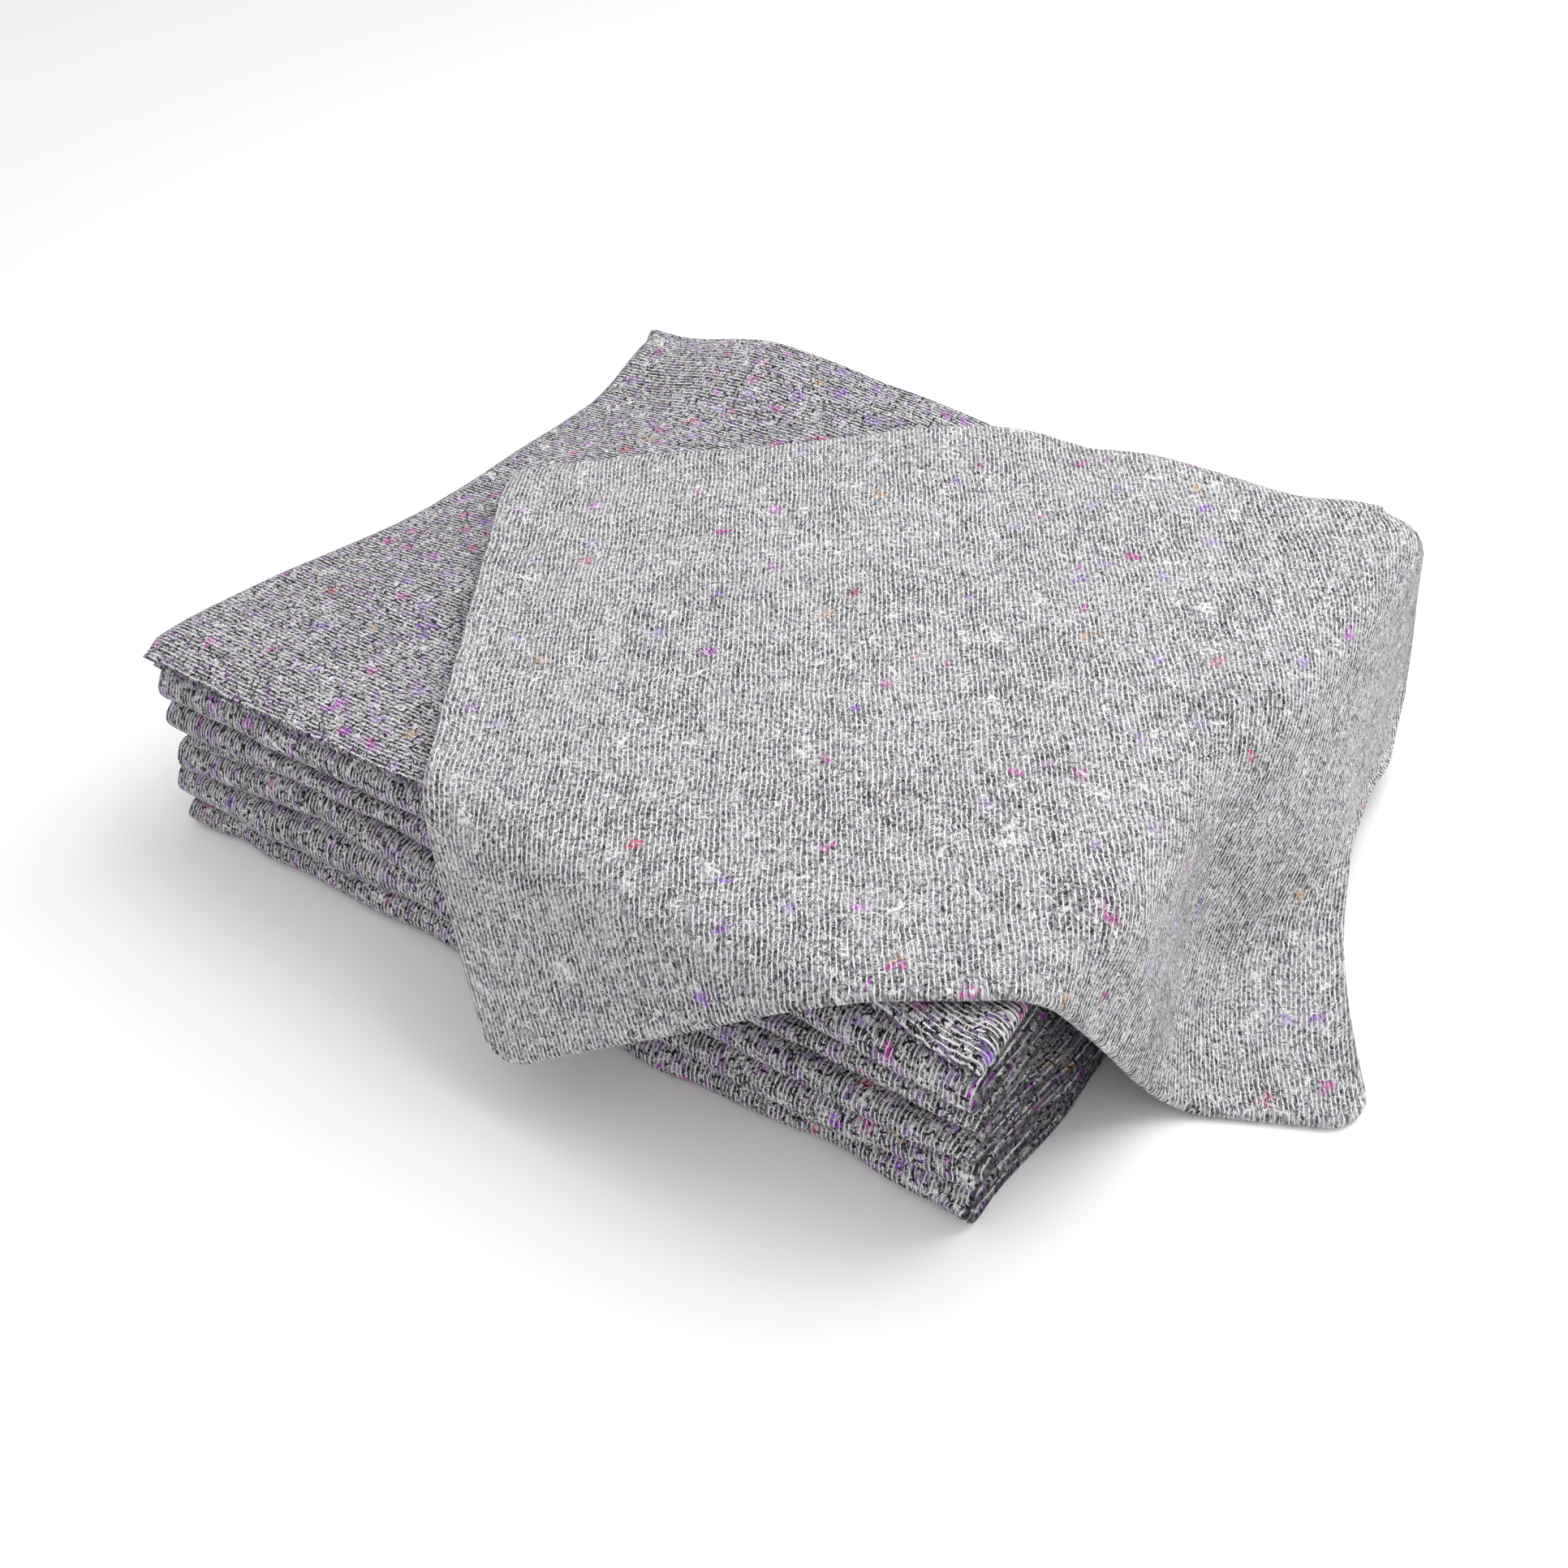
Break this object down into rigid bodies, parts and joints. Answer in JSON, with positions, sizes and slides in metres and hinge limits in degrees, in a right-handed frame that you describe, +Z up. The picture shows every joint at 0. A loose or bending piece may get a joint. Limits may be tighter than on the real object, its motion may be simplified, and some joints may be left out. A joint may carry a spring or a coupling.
{
  "type": "stack of moving blankets",
  "caption": "Soft stack of folded grey stitched felt moving blankets, with another blanket thrown slantwise over the top and hanging down over the right end.",
  "frame": {"origin": "bottom centre of the bounding box of the whole stack, on the surface it stands on", "axes": "+X along the long side of the stack towards the end where the draped blanket hangs down, +Y towards the back, +Z up"},
  "size_m": [0.7466, 0.6032, 0.1537],
  "materials": {
    "folded_felt": "matt stitched felt",
    "top_felt": "matt stitched felt",
    "draped_felt": "matt stitched felt"
  },
  "bodies": {
    "root": {"blanket_1": "folded_felt", "blanket_2": "folded_felt", "blanket_3": "folded_felt", "blanket_4": "folded_felt", "blanket_5": "folded_felt", "blanket_6": "folded_felt", "blanket_7": "top_felt", "draped_blanket": "draped_felt"}
  },
  "joints": []
}
